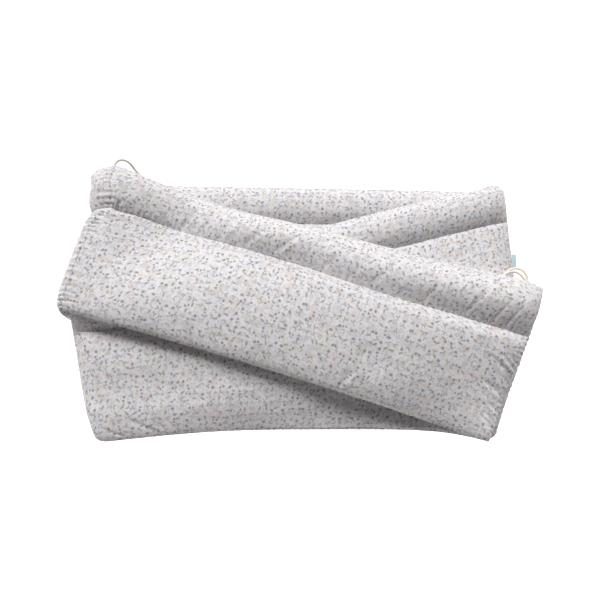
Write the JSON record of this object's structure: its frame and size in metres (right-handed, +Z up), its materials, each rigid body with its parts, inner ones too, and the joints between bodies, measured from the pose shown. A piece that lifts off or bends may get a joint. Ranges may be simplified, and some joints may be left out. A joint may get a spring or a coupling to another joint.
{
  "type": "crib bumper",
  "caption": "Quilted, padded crib bumper strip, folded back and forth into a flat stack, with cord ties and a blank side label.",
  "frame": {"origin": "middle of the base of the box around the strip and its label, on the surface that the stack lies on", "axes": "+X along the panels, towards the end with the side label; +Y across them, towards their narrow channels; +Z up through the stack"},
  "size_m": [0.7722, 0.4591, 0.1127],
  "materials": {
    "printed_cotton": "plain-weave cotton with a small printed floral in slate grey, sage, rust and pale blue on off-white, padded with polyester wadding",
    "woven_ribbon": "plain pale blue woven ribbon, blank",
    "cotton_cord": "cream cotton cord, matt"
  },
  "bodies": {
    "root": {"padded_strip": "printed_cotton", "side_label": "woven_ribbon", "tie_left": "cotton_cord", "tie_right_outer": "cotton_cord", "tie_right_inner": "cotton_cord"}
  },
  "joints": []
}
